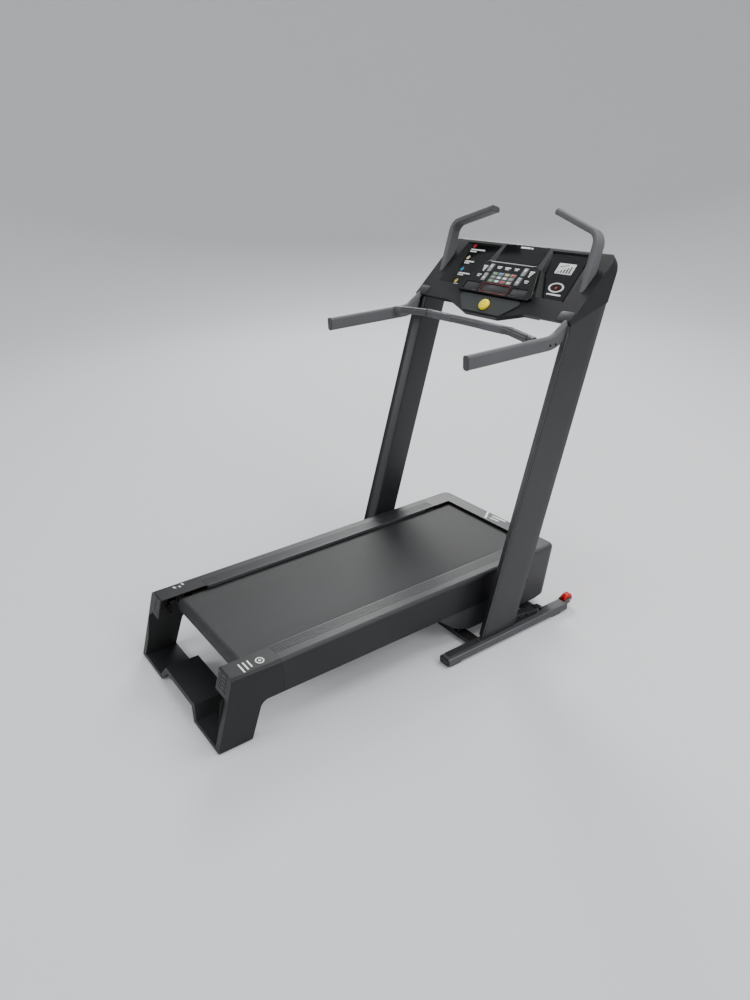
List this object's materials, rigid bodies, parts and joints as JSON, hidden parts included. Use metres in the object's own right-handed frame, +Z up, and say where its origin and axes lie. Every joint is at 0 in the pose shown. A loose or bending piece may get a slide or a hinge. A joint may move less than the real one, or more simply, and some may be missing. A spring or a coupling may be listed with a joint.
{
  "type": "treadmill",
  "caption": "Home treadmill whose belt deck tilts between leaning uprights, with a sloping console, side pockets, handrails, a pulse bar and push bars.",
  "frame": {"origin": "on the floor, at the middle of the machine's length and width", "axes": "+X to the user's right, +Y from the rear of the deck towards the console, +Z up"},
  "size_m": [1.044, 1.92, 1.7602],
  "materials": {
    "frame_paint": "satin charcoal powder coat",
    "black_steel": "black powder coat",
    "upright_paint": "satin dark grey",
    "cover_plastic": "fine grained charcoal",
    "hood_plastic": "fine grained dark grey",
    "rail_plastic": "ribbed dark grey",
    "console_plastic": "satin charcoal",
    "grip_foam": "soft grained charcoal",
    "cap_plastic": "satin black",
    "gloss_black": "gloss black",
    "pod_plastic": "satin grey",
    "key_plastic": "satin grey",
    "yellow_plastic": "satin yellow",
    "red_plastic": "gloss red",
    "belt_rubber": "fine woven matte",
    "black_rubber": "matte",
    "board": "waxed fibreboard",
    "steel": "turned",
    "iron": "machined",
    "circuit": "green board",
    "sensor_metal": "satin"
  },
  "bodies": {
    "base": {"base_rail_left": "frame_paint", "base_rail_right": "frame_paint", "rail_end_caps": "cap_plastic", "base_rear_tube": "black_steel", "base_front_tube": "black_steel", "base_pads": "black_rubber", "upright_left": "upright_paint", "upright_right": "upright_paint", "upright_foot_left": "cover_plastic", "upright_foot_right": "cover_plastic", "base_bolts": "steel", "handrail_left": "grip_foam", "handrail_right": "grip_foam", "pulse_bar": "grip_foam", "pulse_plates": "sensor_metal", "push_bar_left": "grip_foam", "push_bar_right": "grip_foam", "grip_end_caps": "cap_plastic", "console_fascia": "console_plastic", "console_back": "console_plastic", "display_glass": "gloss_black", "side_panels": "gloss_black", "key_panel": "gloss_black", "key_pod": "pod_plastic", "console_board": "circuit", "console_beam": "black_steel"},
    "deck": {"deck_beam_left": "black_steel", "deck_beam_right": "black_steel", "deck_crossmembers": "black_steel", "running_deck": "board", "deck_cushions": "black_rubber", "walking_belt": "belt_rubber", "foot_rail_left": "rail_plastic", "foot_rail_right": "rail_plastic", "rear_stand": "cover_plastic", "rear_pads": "black_rubber", "rear_cap_left": "cover_plastic", "rear_cap_right": "cover_plastic", "motor_hood": "hood_plastic", "belly_pan": "cover_plastic", "drive_motor": "black_steel", "motor_controller": "steel", "drive_belt": "black_rubber", "roller_bolts": "steel", "power_inlet": "cap_plastic", "incline_motor": "black_steel"},
    "lift": {"lift_frame": "black_steel"},
    "screw": {"incline_screw": "steel"},
    "front_roller": {"front_roller": "steel"},
    "rear_roller": {"rear_roller": "steel"},
    "flywheel": {"motor_flywheel": "iron"},
    "wheel_left": {"transport_wheel_left": "red_plastic"},
    "wheel_right": {"transport_wheel_right": "red_plastic"},
    "safety_key": {"safety_key": "yellow_plastic"},
    "switch": {"power_switch": "gloss_black"},
    "incline_up": {"key_incline_up": "key_plastic"},
    "incline_down": {"key_incline_down": "key_plastic"},
    "speed_up": {"key_speed_up": "key_plastic"},
    "speed_down": {"key_speed_down": "key_plastic"}
  },
  "joints": [
    {"name": "lift_tilt", "type": "hinge", "parent": "base", "child": "lift", "pos_m": [0, 0.24, 0.066], "axis": [1, 0, 0], "range_deg": [0, 35]},
    {"name": "deck_tilt", "type": "hinge", "parent": "lift", "child": "deck", "pos_m": [0, 0.69, 0.12], "axis": [1, 0, 0], "range_deg": [-26.22, 0]},
    {"name": "screw_slide", "type": "slide", "parent": "deck", "child": "screw", "axis": [0, 1, 0], "range_m": [0, 0.0235]},
    {"name": "front_roller_spin", "type": "hinge", "parent": "deck", "child": "front_roller", "pos_m": [0, 0.742, 0.2495], "axis": [1, 0, 0], "continuous": true},
    {"name": "rear_roller_spin", "type": "hinge", "parent": "deck", "child": "rear_roller", "pos_m": [0, -0.774, 0.2495], "axis": [1, 0, 0], "continuous": true},
    {"name": "flywheel_spin", "type": "hinge", "parent": "deck", "child": "flywheel", "pos_m": [-0.302, 0.55, 0.128], "axis": [1, 0, 0], "continuous": true},
    {"name": "wheel_left_spin", "type": "hinge", "parent": "base", "child": "wheel_left", "pos_m": [-0.484, 0.8, 0.041], "axis": [1, 0, 0], "continuous": true},
    {"name": "wheel_right_spin", "type": "hinge", "parent": "base", "child": "wheel_right", "pos_m": [0.484, 0.8, 0.041], "axis": [1, 0, 0], "continuous": true},
    {"name": "safety_key_pull", "type": "slide", "parent": "base", "child": "safety_key", "axis": [0, -0.6665, 0.7455], "range_m": [0, 0.02]},
    {"name": "switch_rock", "type": "hinge", "parent": "deck", "child": "switch", "pos_m": [0.23, 0.75807, 0.1], "axis": [0, 0.2306, 0.973], "range_deg": [-7, 7]},
    {"name": "incline_up_press", "type": "slide", "parent": "base", "child": "incline_up", "axis": [0, -0.6665, 0.7455], "range_m": [-0.0015, 0], "stiffness_N_per_m": 800, "springref_m": 0.001},
    {"name": "incline_down_press", "type": "slide", "parent": "base", "child": "incline_down", "axis": [0, -0.6665, 0.7455], "range_m": [-0.0015, 0], "stiffness_N_per_m": 800, "springref_m": 0.001},
    {"name": "speed_up_press", "type": "slide", "parent": "base", "child": "speed_up", "axis": [0, -0.6665, 0.7455], "range_m": [-0.0015, 0], "stiffness_N_per_m": 800, "springref_m": 0.001},
    {"name": "speed_down_press", "type": "slide", "parent": "base", "child": "speed_down", "axis": [0, -0.6665, 0.7455], "range_m": [-0.0015, 0], "stiffness_N_per_m": 800, "springref_m": 0.001}
  ],
  "couplings": [
    {"joint": "deck_tilt", "follows": "lift_tilt", "ratio": -0.7488},
    {"joint": "screw_slide", "follows": "lift_tilt", "m_per_rad": 0.038458},
    {"joint": "rear_roller_spin", "follows": "front_roller_spin", "ratio": 1},
    {"joint": "flywheel_spin", "follows": "front_roller_spin", "ratio": 1.8947}
  ]
}
